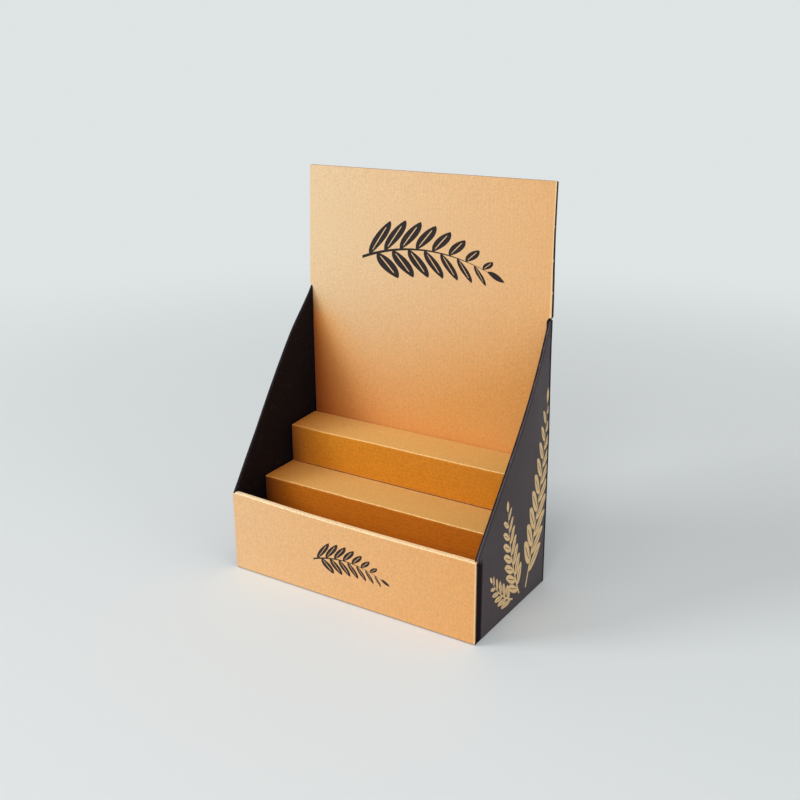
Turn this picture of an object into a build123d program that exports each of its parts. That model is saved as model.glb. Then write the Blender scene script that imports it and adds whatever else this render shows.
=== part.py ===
"""A counter display box of thin corrugated board: a folded tray with a rolled front wall, slanted double
side walls that bow outwards a little and a tall rear wall, a shouldered header card before the rear wall,
and a stair of two steps folded from one sheet.

Millimetres. X runs along the front, Y from the front to the rear, Z up. The origin is the middle of the
underside of the base.
"""

from build123d import *

import os

# The board, its folds and the air between two plies that lie together
board = 1.1
ply_gap = 0.2
fold_radius = 1.4
stair_fold_radius = 1.3

# The tray
tray_width = 228.0
tray_depth = 115.0
total_height = 322.5
front_height = 67.2
front_roll_depth = 4.8
side_front_height = 73.9
side_rear_height = 219.6
side_bow_share = 0.04
apex_level = 1.8
roll_flat = 0.1
base_edge_radius = 0.9
header_width = 225.6
header_corner_radius = 0.8

# The corner flaps of the side walls, behind the front ply and before the rear wall
front_flap_length = 42.0
rear_flap_length = 36.0
rear_flap_drop = 30.0
front_flap_taper = 8.0

# The strip of each side wall beside the front edge, which leans inwards to where the flap folds in
bent_strip_width = 9.6
bent_strip_height = 63.6
bent_strip_depth = 0.5

# The lock tabs of the inner plies and their slots in the base
tab_width = 30.0
tab_end_play = 0.5
tab_face_play = 0.2
front_tab_spacing = 116.0
side_tab_spacing = 52.0

# The header card
shoulder_gap = 2.1
card_side_play = 0.9
header_lean = 1.0

# The stair
stair_side_play = 0.4
stair_rear_play = 0.4
riser_1_setback = 38.6
riser_2_setback = 76.3
tread_1_height = 70.5
tread_1_rise = 1.1
tread_2_height = 104.6
tread_2_rise = 2.6

# Faces and edges that several pieces share
front_face = -tray_depth / 2
rear_face = tray_depth / 2
side_face = tray_width / 2
header_side = header_width / 2
doubled_board = 2 * board + ply_gap
side_inside = side_face - doubled_board
ply_foot = board + ply_gap
roll_inside = front_face + front_roll_depth
under_ridge = front_height - board - ply_gap
flap_front = front_face + board + ply_gap
flap_rear = rear_face - board - ply_gap
bent_strip_end = front_face + bent_strip_width
slope_front = roll_inside + ply_gap
slope_rear = flap_rear - fold_radius
rear_fold_height = side_rear_height - doubled_board
card_rear = flap_rear - board - ply_gap
card_front = card_rear - board
shoulder_height = side_rear_height + shoulder_gap
roll_end = side_face - board - bent_strip_depth - ply_gap
slot_length = tab_width + 2 * tab_end_play
slot_thickness = board + 2 * tab_face_play
riser_1 = front_face + riser_1_setback
riser_2 = front_face + riser_2_setback
rear_leg = card_front - stair_rear_play

# The slanted edge rises this much for each millimetre towards the rear
slope = (side_rear_height - side_front_height) / (slope_rear - apex_level - slope_front)
fold_drop = board * (1 + slope**2) ** 0.5
bow_middle = (slope_front + slope_rear) / 2
side_bow = side_bow_share * (slope_rear - slope_front)


def bowed_sheet(inside, outside):
    """An upright sheet between two X values, straight at its foot and bowed outwards at its head."""
    with BuildPart() as sheet:
        with BuildSketch(Plane.XY.offset(board)):
            with BuildLine():
                Polyline(
                    (inside, slope_front),
                    (inside, slope_rear),
                    (outside, slope_rear),
                    (outside, slope_front),
                    close=True,
                )
            make_face()
        with BuildSketch(Plane.XY.offset(side_rear_height)):
            with BuildLine():
                ThreePointArc((inside, slope_front), (inside + side_bow, bow_middle), (inside, slope_rear))
                Line((inside, slope_rear), (outside, slope_rear))
                ThreePointArc((outside, slope_rear), (outside + side_bow, bow_middle), (outside, slope_front))
                Line((outside, slope_front), (inside, slope_front))
            make_face()
        loft(ruled=True)
    return sheet.part


# Air between the right side wall's two plies, up to the fold
with BuildPart() as side_air:
    add(bowed_sheet(side_inside + board, side_inside + board + ply_gap))
    with BuildSketch(Plane.YZ.offset(side_inside)):
        with BuildLine():
            Polyline(
                (slope_front, board),
                (slope_front, side_front_height - fold_drop),
                (slope_rear - apex_level, side_rear_height - fold_drop),
                (slope_rear, side_rear_height - fold_drop),
                (slope_rear, board),
                close=True,
            )
        make_face()
    extrude(amount=doubled_board + side_bow, mode=Mode.INTERSECT)


# The right side wall: one ply doubled over along its slanted upper edge
with BuildPart() as side_wall:
    add(bowed_sheet(side_inside, side_face))
    with BuildSketch(Plane.YZ.offset(side_inside)):
        with BuildLine():
            Polyline(
                (bent_strip_end, board),
                (bent_strip_end, bent_strip_height),
                (slope_front, bent_strip_height),
                (slope_front, side_front_height),
                (slope_rear - apex_level, side_rear_height),
                (slope_rear, side_rear_height),
                (slope_rear, board),
                close=True,
            )
        make_face()
    extrude(amount=doubled_board + side_bow, mode=Mode.INTERSECT)
    upper_edges = side_wall.edges().filter_by(Axis.X, reverse=True)
    upper_edges = upper_edges.filter_by_position(Axis.Z, side_front_height, side_rear_height)
    upper_edges = upper_edges.filter_by_position(Axis.Y, slope_front, slope_rear - roll_flat)
    fillet(upper_edges, radius=doubled_board / 2 - roll_flat)
    add(side_air.part, mode=Mode.SUBTRACT)

    # The inner ply stands clear of the base
    with BuildSketch(Plane.XY):
        with Locations((side_inside + (board + ply_gap) / 2, 0)):
            Rectangle(board + ply_gap, tray_depth)
    extrude(amount=ply_foot, mode=Mode.SUBTRACT)


# The right side wall's corner flaps, with the strip that leans in to the front one
with BuildPart() as corner_flaps:
    with BuildSketch(Plane.XY.offset(ply_foot)):
        with BuildLine():
            FilletPolyline(
                (side_face - front_flap_length, flap_front),
                (side_face - bent_strip_depth, flap_front),
                (side_face, bent_strip_end),
                (side_face, flap_rear),
                (side_face - rear_flap_length, flap_rear),
                radius=fold_radius,
            )
            offset(amount=board, side=Side.LEFT)
        make_face()
    extrude(amount=side_rear_height)

    # Their heights, seen from the side; the bowed wall takes the place between them
    with BuildSketch(Plane.YZ):
        with BuildLine():
            Polyline(
                (front_face, 0),
                (front_face, under_ridge),
                (slope_front, under_ridge),
                (slope_front, bent_strip_height),
                (bent_strip_end + board, bent_strip_height),
                (bent_strip_end + board, 0),
                close=True,
            )
        make_face()
        with BuildLine():
            Polyline(
                (slope_rear - fold_radius, 0),
                (slope_rear - fold_radius, rear_fold_height),
                (rear_face, rear_fold_height),
                (rear_face, 0),
                close=True,
            )
        make_face()
    extrude(amount=side_face, mode=Mode.INTERSECT)

    # The front flap's upper corner is cut off, and the rear flap's upper edge falls towards its end
    with BuildSketch(Plane.XZ.offset(-roll_inside)):
        with BuildLine():
            Polyline(
                (side_face - front_flap_length, under_ridge - front_flap_taper),
                (side_face - front_flap_length + front_flap_taper, under_ridge),
                (side_face - front_flap_length, under_ridge),
                close=True,
            )
        make_face()
    extrude(amount=front_roll_depth, mode=Mode.SUBTRACT)
    with BuildSketch(Plane.XZ.offset(-rear_face)):
        with BuildLine():
            Polyline(
                (side_inside, rear_fold_height),
                (side_face - rear_flap_length, rear_fold_height - rear_flap_drop),
                (side_face - rear_flap_length, rear_fold_height),
                close=True,
            )
        make_face()
    extrude(amount=rear_face - card_rear, mode=Mode.SUBTRACT)


with BuildPart() as tray:
    # Rolled front wall, base and rear wall: one strip of board, bent to its section
    with BuildSketch(Plane.YZ.offset(-side_face)):
        with BuildLine():
            FilletPolyline(
                (roll_inside, ply_foot),
                (roll_inside, front_height),
                (front_face, front_height),
                (front_face, front_height / 2),
                radius=fold_radius,
            )
            offset(amount=board, side=Side.LEFT)
        make_face()
        with BuildLine():
            FilletPolyline(
                (front_face, front_height / 2),
                (front_face, 0),
                (rear_face, 0),
                (rear_face, total_height),
                radius=fold_radius,
            )
            offset(amount=board, side=Side.LEFT)
        make_face()
    extrude(amount=tray_width)

    # The rear wall is a little narrower above the side walls, with rounded upper corners
    with BuildSketch(Plane.XZ.offset(-rear_face)):
        with Locations((header_side, total_height)):
            Rectangle(side_face - header_side, total_height - side_rear_height, align=(Align.MIN, Align.MAX))
        mirror(about=Plane.YZ)
    extrude(amount=board, mode=Mode.SUBTRACT)
    upper_corners = tray.edges().filter_by(Axis.Y).group_by(Axis.Z)[-1]
    fillet(upper_corners, radius=header_corner_radius)

    # The front wall's inner ply fits between the side walls
    with BuildSketch(Plane.YZ.offset(roll_end)):
        with BuildLine():
            Polyline(
                (flap_front + board, ply_foot),
                (flap_front + board, under_ridge),
                (slope_front, under_ridge),
                (slope_front, ply_foot),
                close=True,
            )
        make_face()
    roll_trim = extrude(amount=side_face - roll_end, mode=Mode.SUBTRACT)
    mirror(roll_trim, about=Plane.YZ, mode=Mode.SUBTRACT)

    # Small reliefs in the base's corners part the side walls' folds from the front and rear ones
    with BuildSketch(Plane.XY):
        for relief_front in (front_face + fold_radius, slope_rear):
            with Locations((side_inside, relief_front)):
                Rectangle(doubled_board, ply_foot, align=(Align.MIN, Align.MIN))
        mirror(about=Plane.YZ)
    extrude(amount=ply_foot, mode=Mode.SUBTRACT)

    # The side walls stand on the base's edges, and those edges are rounded
    add(corner_flaps.part)
    add(side_wall.part)
    mirror(corner_flaps.part, about=Plane.YZ)
    mirror(side_wall.part, about=Plane.YZ)
    base_edges = tray.edges().filter_by(Axis.Y).group_by(Axis.Z)[0]
    fillet(base_edges.group_by(SortBy.LENGTH)[-1], radius=base_edge_radius)

    # Slots for the lock tabs, and the tabs in them
    with BuildSketch(Plane.XY):
        with GridLocations(2 * side_inside + board, side_tab_spacing, 2, 2):
            Rectangle(slot_thickness, slot_length)
        with Locations((0, roll_inside - board / 2)):
            with GridLocations(front_tab_spacing, 0, 2, 1):
                Rectangle(slot_length, slot_thickness)
    extrude(amount=board, mode=Mode.SUBTRACT)
    with BuildSketch(Plane.XY):
        with GridLocations(2 * side_inside + board, side_tab_spacing, 2, 2):
            Rectangle(board, tab_width)
        with Locations((0, roll_inside - board / 2)):
            with GridLocations(front_tab_spacing, 0, 2, 1):
                Rectangle(tab_width, board)
    extrude(amount=ply_foot)

tray.part.label = "tray"


# The header card stands before the rear flaps, curves back towards the rear wall above the side walls, and
# has a shoulder over each of them
with BuildPart() as header_card:
    with BuildSketch(Plane.YZ.offset(-side_face)):
        with BuildLine():
            upright = Line((card_front, board), (card_front, shoulder_height))
            TangentArc(upright @ 1, (card_front + header_lean, total_height), tangent=upright % 1)
            offset(amount=board, side=Side.RIGHT)
        make_face()
    extrude(amount=tray_width)
    with BuildSketch(Plane.XZ.offset(-rear_face)) as card_outline:
        with BuildLine():
            Polyline(
                (side_inside - card_side_play, board),
                (side_inside - card_side_play, shoulder_height),
                (header_side, shoulder_height),
                (header_side, total_height),
                (0, total_height),
                (0, board),
                close=True,
            )
        make_face()
        mirror(about=Plane.YZ)
        fillet(card_outline.vertices().group_by(Axis.Y)[-1].sort_by(Axis.X)[0], radius=header_corner_radius)
        fillet(card_outline.vertices().group_by(Axis.Y)[-1].sort_by(Axis.X)[-1], radius=header_corner_radius)
    extrude(amount=tray_depth, mode=Mode.INTERSECT)

header_card.part.label = "header_card"


# The stair: riser, tread, riser, tread and rear leg, folded from one sheet that stands on the base
with BuildPart() as step_insert:
    with BuildSketch(Plane.YZ.offset(stair_side_play - side_inside)):
        with BuildLine():
            FilletPolyline(
                (riser_1, board),
                (riser_1, tread_1_height),
                (riser_2, tread_1_height + tread_1_rise),
                (riser_2, (tread_1_height + tread_2_height) / 2),
                radius=stair_fold_radius,
            )
            offset(amount=board, side=Side.RIGHT)
        make_face()
        with BuildLine():
            FilletPolyline(
                (riser_2, (tread_1_height + tread_2_height) / 2),
                (riser_2, tread_2_height),
                (rear_leg, tread_2_height + tread_2_rise),
                (rear_leg, board),
                radius=stair_fold_radius,
            )
            offset(amount=board, side=Side.RIGHT)
        make_face()
    extrude(amount=2 * (side_inside - stair_side_play))

step_insert.part.label = "step_insert"


os.makedirs("parts", exist_ok=True)
for piece in (tray, header_card, step_insert):
    export_step(piece.part, f"parts/{piece.part.label}.step")
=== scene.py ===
# %% [markdown]
# # A stepped counter display box
#
# The object is a small shop display of thin corrugated board: a folded tray with black side walls, a kraft
# header card before its rear wall and a stair of two steps inside. The CAD model holds the exact sheets.
# Here they get what CAD leaves out: open flutes at cut edges, small warps, the print and the paper's fibres.
# Then they are set in the light of a studio.

import math

import bpy
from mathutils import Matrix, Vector, noise


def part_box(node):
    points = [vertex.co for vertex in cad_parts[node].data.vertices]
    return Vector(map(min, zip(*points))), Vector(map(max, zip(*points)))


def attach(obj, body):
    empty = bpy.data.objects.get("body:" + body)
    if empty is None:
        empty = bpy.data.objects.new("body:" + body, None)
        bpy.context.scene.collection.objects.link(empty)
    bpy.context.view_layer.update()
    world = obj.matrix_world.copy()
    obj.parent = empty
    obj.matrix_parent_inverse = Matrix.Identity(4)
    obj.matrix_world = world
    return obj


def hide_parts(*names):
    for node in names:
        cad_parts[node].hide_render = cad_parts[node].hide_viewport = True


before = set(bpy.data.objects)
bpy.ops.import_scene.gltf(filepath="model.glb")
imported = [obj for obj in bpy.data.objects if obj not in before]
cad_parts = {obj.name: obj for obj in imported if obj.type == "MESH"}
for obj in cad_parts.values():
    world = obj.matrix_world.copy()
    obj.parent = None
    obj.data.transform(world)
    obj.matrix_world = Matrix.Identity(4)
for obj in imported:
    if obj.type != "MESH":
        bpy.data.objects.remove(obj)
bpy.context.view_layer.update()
MM = 0.001

# %% [markdown]
# The folded sheets share some faces. Their places are read from the CAD nodes' boxes where a box gives
# them, and the rest are the board's own measures in millimetres.

# %% Places of the sheets' faces
BOARD = 1.1
PLY_GAP = 0.2
tray_low, tray_high = (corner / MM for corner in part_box("tray"))
card_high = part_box("header_card")[1] / MM
stair_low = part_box("step_insert")[0] / MM
SIDE = 114.0
FRONT = tray_low.y
REAR = tray_high.y
TOP = tray_high.z
SIDE_INSIDE = SIDE - 2 * BOARD - PLY_GAP
FRONT_RIDGE = 67.2
FRONT_INSIDE = FRONT + 4.8
SIDE_FOOT = 73.9
SIDE_TOP = 219.6
SLANT_FOOT_Y = FRONT_INSIDE + PLY_GAP
SLANT_TOP_Y = REAR - 4.5
SHOULDER = SIDE_TOP + 2.1
HEADER_SIDE = card_high.x
STRIP_TOP = 63.6
STRIP_DEPTH = 9.7
LOWER_TREAD = 70.5
UPPER_TREAD = 104.6
STEP_DEPTH = 37.7
FLUTE_PITCH = 3.4
NEAR = 0.05
print("side", round(SIDE, 1), "front", round(FRONT, 1), "rear", round(REAR, 1), "top", round(TOP, 1))


# %% [markdown]
# Small helpers keep the modelling cells short. An operator acts on all that is selected, so one helper
# selects a single object. The others open and close edit mode, apply a modifier as its button does, and
# move an object's place into its mesh.

# %% Helpers for modelling
def alone(piece):
    """Selects one object and nothing else."""
    if bpy.context.mode != "OBJECT":
        bpy.ops.object.mode_set(mode="OBJECT")
    bpy.ops.object.select_all(action="DESELECT")
    piece.select_set(True)
    bpy.context.view_layer.objects.active = piece


def edit_all(piece):
    """Opens edit mode with the whole mesh selected."""
    alone(piece)
    bpy.ops.object.mode_set(mode="EDIT")
    bpy.ops.mesh.select_mode(type="FACE")
    bpy.ops.mesh.select_all(action="SELECT")


def close_edit():
    """Goes back to object mode."""
    bpy.ops.object.mode_set(mode="OBJECT")


def apply_modifier(piece, kind, name, **settings):
    """Adds a modifier, sets it and applies it."""
    alone(piece)
    modifier = piece.modifiers.new(name, kind)
    for key, value in settings.items():
        setattr(modifier, key, value)
    bpy.ops.object.modifier_apply(modifier=name)


def place_in_mesh(piece):
    """Moves the object's place, turn and scale into its mesh, so that the object sits at the origin."""
    alone(piece)
    bpy.ops.object.transform_apply(location=True, rotation=True, scale=True)


# %% [markdown]
# A CAD node's mesh is loose triangles. A copy of it is welded, and its flat faces are joined, so that it can
# be cut and bent like a hand-made mesh. The copy then stands for the CAD node.

# %% A welded copy of a sheet
WELD_REACH = 0.002
FLAT_ANGLE = math.radians(0.4)


def sheet_copy(node, name):
    """A welded copy of one CAD sheet, which is shown in the sheet's place."""
    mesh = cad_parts[node].data.copy()
    mesh.materials.clear()
    piece = bpy.data.objects.new(name, mesh)
    bpy.context.scene.collection.objects.link(piece)
    edit_all(piece)
    bpy.ops.mesh.remove_doubles(threshold=WELD_REACH * MM)
    bpy.ops.mesh.customdata_custom_splitnormals_clear()
    bpy.ops.mesh.dissolve_limited(angle_limit=FLAT_ANGLE)
    close_edit()
    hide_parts(node)
    return piece


def open_edges(piece):
    """How many edges don't have exactly two faces."""
    edit_all(piece)
    bpy.ops.mesh.select_mode(type="EDGE")
    bpy.ops.mesh.select_all(action="DESELECT")
    bpy.ops.mesh.select_non_manifold()
    close_edit()
    return sum(edge.select for edge in piece.data.edges)


def report(piece):
    """Prints a sheet's faces and its open edges."""
    print(piece.name, len(piece.data.polygons), "faces,", open_edges(piece), "open edges")


tray = sheet_copy("tray", "tray_board")
card = sheet_copy("header_card", "header_board")
stair = sheet_copy("step_insert", "stair_board")
for sheet in (tray, card, stair):
    report(sheet)

# %% [markdown]
# Nothing on the box moves, so all three sheets ride on the one body.

# %% The body that all of it rides on
for sheet, finish in ((tray, "printed_board"), (card, "kraft_card"), (stair, "kraft_insert")):
    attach(sheet, "root")

# %% [markdown]
# ## Camera, light and floor
#
# The camera stands where the photographer's did: a little above the box and to its right. Its place and
# turn come from the box's own corners in the photo.

# %% Camera
camera_data = bpy.data.cameras.new("Camera")
camera_data.lens = 46.998
camera_data.sensor_width = 36
camera_data.clip_start = 0.01
camera = bpy.data.objects.new("Camera", camera_data)
camera.location = (0.43018, -0.6433, 0.41718)
camera.rotation_euler = [math.radians(angle) for angle in (71.1167, 0.3317, 32.8502)]
bpy.context.scene.collection.objects.link(camera)
bpy.context.scene.camera = camera
print("camera is", round(camera.location.length, 3), "m from the origin")

# %% [markdown]
# ## Helpers for finishes
#
# A finish is a tree of shader nodes. Each helper adds one node and wires it at once, so that a later cell
# reads like the sum that it works out.

# %% Helpers for nodes
def feed(tree, socket, value):
    """Links another node's output to a socket, or sets a plain value on it."""
    if isinstance(value, bpy.types.NodeSocket):
        tree.links.new(value, socket)
    else:
        socket.default_value = value


def new_tree(name):
    """A new material: its node tree and its Principled BSDF."""
    material = bpy.data.materials.new(name)
    material.use_nodes = True
    return material, material.node_tree, material.node_tree.nodes["Principled BSDF"]


def add_node(tree, kind, **inputs):
    """Adds a node and feeds its inputs, which are given by name, or as in0, in1 where they share one."""
    made = tree.nodes.new(kind)
    for key, value in inputs.items():
        numbered = key.startswith("in") and key[2:].isdigit()
        feed(tree, made.inputs[int(key[2:]) if numbered else key.replace("_", " ")], value)
    return made


# %% [markdown]
# Most of a pattern is plain arithmetic on the place, so the usual sums have short names.

# %% Helpers for sums
def calculate(tree, operation, *values):
    """A Math node's result."""
    made = tree.nodes.new("ShaderNodeMath")
    made.operation = operation
    for socket, value in zip(made.inputs, values):
        feed(tree, socket, value)
    return made.outputs[0]


def times(tree, first, second):
    """Two values multiplied."""
    return calculate(tree, "MULTIPLY", first, second)


def plus(tree, first, second):
    """Two values added."""
    return calculate(tree, "ADD", first, second)


def minus(tree, first, second):
    """The second value taken from the first."""
    return calculate(tree, "SUBTRACT", first, second)


def times_plus(tree, first, second, added):
    """Two values multiplied, and a third added."""
    return calculate(tree, "MULTIPLY_ADD", first, second, added)


def speckle(tree, place, scale, detail):
    """A noise texture's value, between 0 and 1."""
    return add_node(tree, "ShaderNodeTexNoise", Vector=place, Scale=scale, Detail=detail).outputs[0]


def blend_colour(tree, share, first, second, mode="MIX"):
    """Two colours mixed by a share."""
    made = tree.nodes.new("ShaderNodeMix")
    made.data_type = "RGBA"
    made.blend_type = mode
    for socket, value in zip((made.inputs[0], made.inputs[6], made.inputs[7]), (share, first, second)):
        feed(tree, socket, value)
    return made.outputs[2]


def map_value(tree, value, low, high, to_low=0.0, to_high=1.0, smooth=True):
    """A value carried from one range to another and held at its ends."""
    made = tree.nodes.new("ShaderNodeMapRange")
    made.interpolation_type = "SMOOTHSTEP" if smooth else "LINEAR"
    for socket, setting in zip(made.inputs, (value, low, high, to_low, to_high)):
        feed(tree, socket, setting)
    return made.outputs[0]


# %% [markdown]
# An effect that several finishes share is made once, as a node group with named inputs and outputs.

# %% Helpers for node groups
KINDS = {float: "NodeSocketFloat", tuple: "NodeSocketColor", type(None): "NodeSocketVector"}


def new_group(name, inputs, outputs):
    """A node group, what it is given and what it results in. A default of None stands for a place."""
    group = bpy.data.node_groups.new(name, "ShaderNodeTree")
    for socket_name, default in inputs.items():
        socket = group.interface.new_socket(socket_name, in_out="INPUT", socket_type=KINDS[type(default)])
        if default is not None:
            socket.default_value = default
    for socket_name in outputs:
        kind = tuple if socket_name == "Color" else float
        group.interface.new_socket(socket_name, in_out="OUTPUT", socket_type=KINDS[kind])
    return group, group.nodes.new("NodeGroupInput").outputs, group.nodes.new("NodeGroupOutput").inputs


def use_group(tree, group, **values):
    """Places a node group in a material and sets its inputs."""
    made = tree.nodes.new("ShaderNodeGroup")
    made.node_tree = group
    for key, value in values.items():
        feed(tree, made.inputs[key.replace("_", " ")], value)
    return made.outputs


# %% [markdown]
# Every finish starts from Object coordinates, which stay with the piece, and ends in its shader.

# %% Helpers for a whole finish
def surface_place(tree):
    """Object coordinates, whole and as their three parts."""
    place = add_node(tree, "ShaderNodeTexCoord").outputs["Object"]
    return place, add_node(tree, "ShaderNodeSeparateXYZ", Vector=place).outputs


def wire_shader(tree, shader, colour, rough, level, relief):
    """Gives a shader its colour, roughness, gloss level and relief: height, strength and distance."""
    tree.links.new(colour, shader.inputs["Base Color"])
    tree.links.new(rough, shader.inputs["Roughness"])
    shader.inputs["Specular IOR Level"].default_value = level
    height, strength, distance = relief
    bump = add_node(tree, "ShaderNodeBump", Height=height, Strength=strength, Distance=distance)
    tree.links.new(bump.outputs[0], shader.inputs["Normal"])


def srgb(red, green, blue):
    """A screen colour from 0 to 255 as the linear colour that a shader takes."""
    shares = (value / 255 for value in (red, green, blue))
    return (*(s / 12.92 if s <= 0.04045 else ((s + 0.055) / 1.055) ** 2.4 for s in shares), 1.0)


# %% [markdown]
# The floor is one large disc. Far from the box it fades into the backdrop, so that no horizon shows from
# any side, and near the box it keeps its soft shadow.

# %% Floor
PALE = (0.80, 0.84, 0.85, 1.0)
FLOOR_RADIUS = 5.0
FADE_START, FADE_END = 0.35, 1.35
bpy.ops.object.select_all(action="DESELECT")
bpy.ops.mesh.primitive_circle_add(vertices=96, radius=FLOOR_RADIUS, fill_type="NGON", location=(0, 0, 0))
floor = bpy.context.active_object
floor.name = "floor"
floor_material, floor_tree, floor_shader = new_tree("Pale floor")
floor_shader.inputs["Base Color"].default_value = PALE
floor_shader.inputs["Roughness"].default_value = 0.9
floor_shader.inputs["Specular IOR Level"].default_value = 0.1
floor_place = add_node(floor_tree, "ShaderNodeTexCoord").outputs["Object"]
floor_reach = add_node(floor_tree, "ShaderNodeVectorMath", in0=floor_place)
floor_reach.operation = "LENGTH"
floor_fade = map_value(floor_tree, floor_reach.outputs["Value"], FADE_START, FADE_END)
clear = add_node(floor_tree, "ShaderNodeBsdfTransparent")
floor_mix = add_node(floor_tree, "ShaderNodeMixShader", in0=floor_fade)
floor_tree.links.new(floor_shader.outputs[0], floor_mix.inputs[1])
floor_tree.links.new(clear.outputs[0], floor_mix.inputs[2])
floor_tree.links.new(floor_mix.outputs[0], floor_tree.nodes["Material Output"].inputs["Surface"])
floor.data.materials.append(floor_material)
print("floor fades out between", FADE_START, "and", FADE_END, "m")

# %% [markdown]
# The world lights the box evenly and weakly. The camera sees it in the floor's own pale colour, so that the
# floor fades into it.

# %% Backdrop
SURROUND_LEVEL = 0.40
BACKDROP_LEVEL = 0.92
world = bpy.data.worlds.new("Studio")
bpy.context.scene.world = world
world.use_nodes = True
world_tree = world.node_tree
surround = world_tree.nodes["Background"]
surround.inputs["Color"].default_value = (1.0, 1.0, 1.0, 1.0)
surround.inputs["Strength"].default_value = SURROUND_LEVEL
seen = add_node(world_tree, "ShaderNodeBackground", Color=PALE, Strength=BACKDROP_LEVEL)
light_path = add_node(world_tree, "ShaderNodeLightPath")
world_mix = add_node(world_tree, "ShaderNodeMixShader", in0=light_path.outputs["Is Camera Ray"])
world_tree.links.new(surround.outputs[0], world_mix.inputs[1])
world_tree.links.new(seen.outputs[0], world_mix.inputs[2])
world_tree.links.new(world_mix.outputs[0], world_tree.nodes["World Output"].inputs["Surface"])
print("the world lights at", SURROUND_LEVEL, "and shows at", BACKDROP_LEVEL)


# %% [markdown]
# Soft light comes from one large panel at the front left, and weaker ones from the front, the right and
# above. The left side wall then shades the header beside it, as in the photo.

# %% Studio lights
def soft_panel(name, place, target, size, power):
    """A square area light that looks at a point."""
    data = bpy.data.lights.new(name, "AREA")
    data.shape = "SQUARE"
    data.size = size
    data.energy = power
    lamp = bpy.data.objects.new(name, data)
    lamp.location = place
    lamp.rotation_euler = (Vector(target) - Vector(place)).to_track_quat("-Z", "Y").to_euler()
    bpy.context.scene.collection.objects.link(lamp)


soft_panel("Key panel", (-2.4, -1.9, 1.7), (0, 0, 0.15), 1.4, 45)
soft_panel("Fill panel", (1.0, -2.4, 1.7), (0, 0, 0.15), 1.4, 23)
soft_panel("Side panel", (2.8, -0.5, 1.3), (0, 0, 0.15), 1.4, 7)
soft_panel("Top panel", (0.1, -0.5, 1.9), (0, 0, 0.1), 1.2, 6)
print(len(bpy.data.lights), "panels light the box")

bpy.context.scene.view_settings.view_transform = "Standard"

# %% [markdown]
# ## Open flutes
#
# Corrugated board is a wavy sheet between two flat liners. Where the board is cut across its flutes the
# wave shows as a row of small half-round holes, each one half a flute from the next on the other side.
# One hole is a cylinder pressed flat and cut in half. Two arrays of it cut the top edge of the header card,
# and two more that of the rear wall. A boolean cut leaves closed, clean walls.

# %% A row of holes
HOLE_WIDTH = 1.94
HOLE_HEIGHT = 0.62
HOLE_DEPTH = 3.0
LINER = 0.19
CUT_REACH = 1e-7


def flute_row(y_middle, turned, hollow):
    """A row of half-round prisms along a top edge, on one side of the wavy sheet."""
    side = -1 if turned else 1
    start = -HEADER_SIDE + FLUTE_PITCH * (1.0 if turned else 0.5)
    flat = y_middle - side * (BOARD / 2 - LINER)
    bpy.ops.object.select_all(action="DESELECT")
    place = [start * MM, flat * MM, TOP * MM]
    size = [HOLE_WIDTH / 2 * MM, HOLE_HEIGHT * MM, HOLE_DEPTH * MM]
    bpy.ops.mesh.primitive_cylinder_add(vertices=16, radius=1.0, depth=2.0, location=place, scale=size)
    row = bpy.context.active_object
    place_in_mesh(row)
    edit_all(row)
    cut = {"plane_co": (0, flat * MM, 0), "plane_no": (0, side, 0), "threshold": CUT_REACH}
    bpy.ops.mesh.bisect(**cut, use_fill=True, clear_inner=True)
    close_edit()
    count = int((2 * HEADER_SIDE - FLUTE_PITCH) / FLUTE_PITCH)
    apply_modifier(row, "ARRAY", "flutes", count=count, use_relative_offset=False, use_constant_offset=True,
                   constant_offset_displace=(FLUTE_PITCH * MM, 0, 0))
    row.data.materials.append(hollow)
    return row


# %% [markdown]
# The cutters are joined into one, so a sheet is cut only once. The cut hands their material on to the walls
# of the holes, which can then be found again.

# %% Cutting holes out of a sheet
def cut_away(piece, cutters):
    """Joins the cutters into one and takes them out of a sheet."""
    alone(cutters[0])
    for cutter in cutters:
        cutter.select_set(True)
    bpy.ops.object.join()
    cutter = bpy.context.active_object
    edit_all(cutter)
    bpy.ops.mesh.normals_make_consistent(inside=False)
    close_edit()
    apply_modifier(piece, "BOOLEAN", "cut", operation="DIFFERENCE", object=cutter, solver="EXACT",
                   material_mode="TRANSFER")
    bpy.data.objects.remove(cutter)


# %% [markdown]
# A cut edge that runs along the flutes shows the two liners with a gap between them. A thin bar cuts that
# gap into the upright edges of the card and the rear wall, and into the ends of the front wall.

# %% Gaps in the upright edges
GAP_WIDTH = 0.5
GAP_DEPTH = 0.9


def edge_bar(x_end, y_middle, z_low, z_high, hollow):
    """A thin upright bar that reaches a little way into a sheet's end."""
    bpy.ops.object.select_all(action="DESELECT")
    bpy.ops.mesh.primitive_cube_add(
        size=2.0,
        location=[x_end * MM, y_middle * MM, (z_low + z_high) / 2 * MM],
        scale=[GAP_DEPTH * MM, GAP_WIDTH / 2 * MM, (z_high - z_low) / 2 * MM],
    )
    bar = bpy.context.active_object
    place_in_mesh(bar)
    bar.data.materials.append(hollow)
    return bar


# %% [markdown]
# The card and the tray are cut once each. A slot of their own comes first, so that the cutters' material
# gets the next one.

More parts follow.
